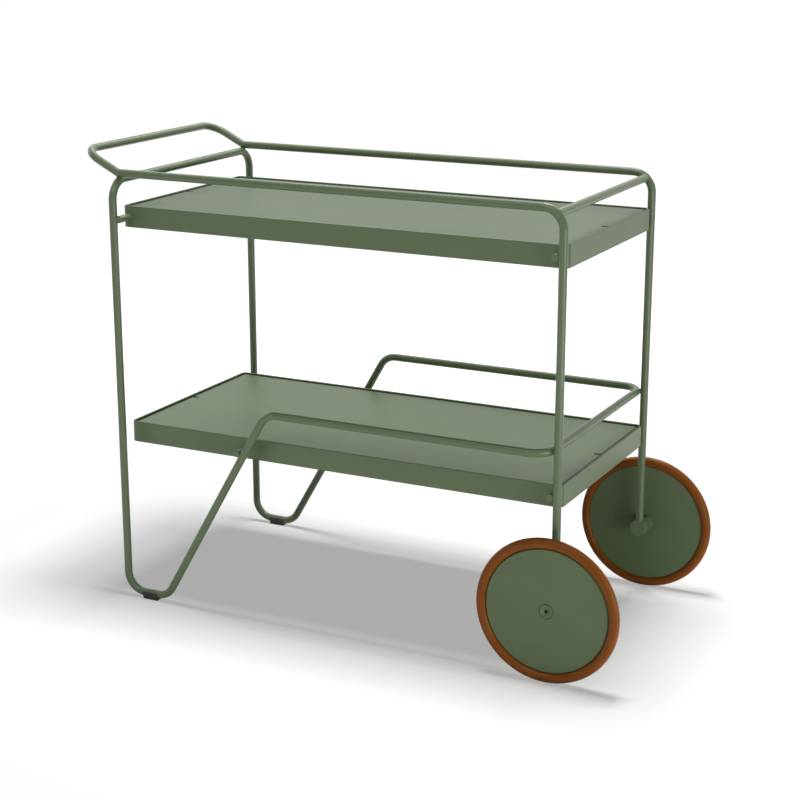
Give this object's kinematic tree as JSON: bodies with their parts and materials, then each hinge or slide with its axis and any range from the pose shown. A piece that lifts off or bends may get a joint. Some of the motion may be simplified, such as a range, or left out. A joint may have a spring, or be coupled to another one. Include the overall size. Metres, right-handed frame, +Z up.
{
  "type": "outdoor bar cart",
  "caption": "Outdoor bar cart of bent tube with stacked sheet trays inside guard rails, a raised push handle, disc wheels at one end and padded feet at the other.",
  "frame": {"origin": "on the floor, at the middle of the cart's outline", "axes": "+X from the push handle to the wheels, +Y to the far side, +Z up"},
  "size_m": [1.035, 0.502, 0.8205],
  "materials": {
    "green_powder_coat": "satin powder coat",
    "green_coated_disc": "satin powder coat",
    "brown_rubber": "smooth satin",
    "black_plastic": "matte",
    "bush_plastic": "smooth matte",
    "zinc_steel": "zinc plated"
  },
  "bodies": {
    "frame": {"far_axle_bolt": "green_powder_coat", "far_axle_boss": "green_powder_coat", "far_foot_glide": "black_plastic", "far_leg_strut": "green_powder_coat", "far_lower_handle_peg": "green_powder_coat", "far_lower_wheel_peg": "green_powder_coat", "far_thrust_washer": "zinc_steel", "far_top_rail": "green_powder_coat", "far_upper_handle_peg": "green_powder_coat", "far_upper_wheel_peg": "green_powder_coat", "leg_bridge": "green_powder_coat", "lower_rail_loop": "green_powder_coat", "lower_tray_ledge": "green_powder_coat", "lower_tray_panel": "green_powder_coat", "lower_tray_rim": "green_powder_coat", "lower_tray_screws": "zinc_steel", "lower_tray_skirt": "green_powder_coat", "lower_tray_washers": "zinc_steel", "near_axle_bolt": "green_powder_coat", "near_axle_boss": "green_powder_coat", "near_foot_glide": "black_plastic", "near_leg_strut": "green_powder_coat", "near_lower_handle_peg": "green_powder_coat", "near_lower_wheel_peg": "green_powder_coat", "near_thrust_washer": "zinc_steel", "near_top_rail": "green_powder_coat", "near_upper_handle_peg": "green_powder_coat", "near_upper_wheel_peg": "green_powder_coat", "push_handle": "green_powder_coat", "upper_tray_ledge": "green_powder_coat", "upper_tray_panel": "green_powder_coat", "upper_tray_rim": "green_powder_coat", "upper_tray_screws": "zinc_steel", "upper_tray_skirt": "green_powder_coat", "upper_tray_washers": "zinc_steel", "wheel_end_crossbar": "green_powder_coat"},
    "near_wheel": {"near_wheel_disc": "green_coated_disc", "near_tyre": "brown_rubber", "near_inner_bush": "bush_plastic", "near_outer_bush": "bush_plastic"},
    "far_wheel": {"far_wheel_disc": "green_coated_disc", "far_tyre": "brown_rubber", "far_inner_bush": "bush_plastic", "far_outer_bush": "bush_plastic"}
  },
  "joints": [
    {"name": "near_wheel_spin", "type": "hinge", "parent": "frame", "child": "near_wheel", "pos_m": [0.3925, -0.242, 0.125], "axis": [0, 1, 0], "continuous": true},
    {"name": "far_wheel_spin", "type": "hinge", "parent": "frame", "child": "far_wheel", "pos_m": [0.3925, 0.242, 0.125], "axis": [0, 1, 0], "continuous": true}
  ]
}
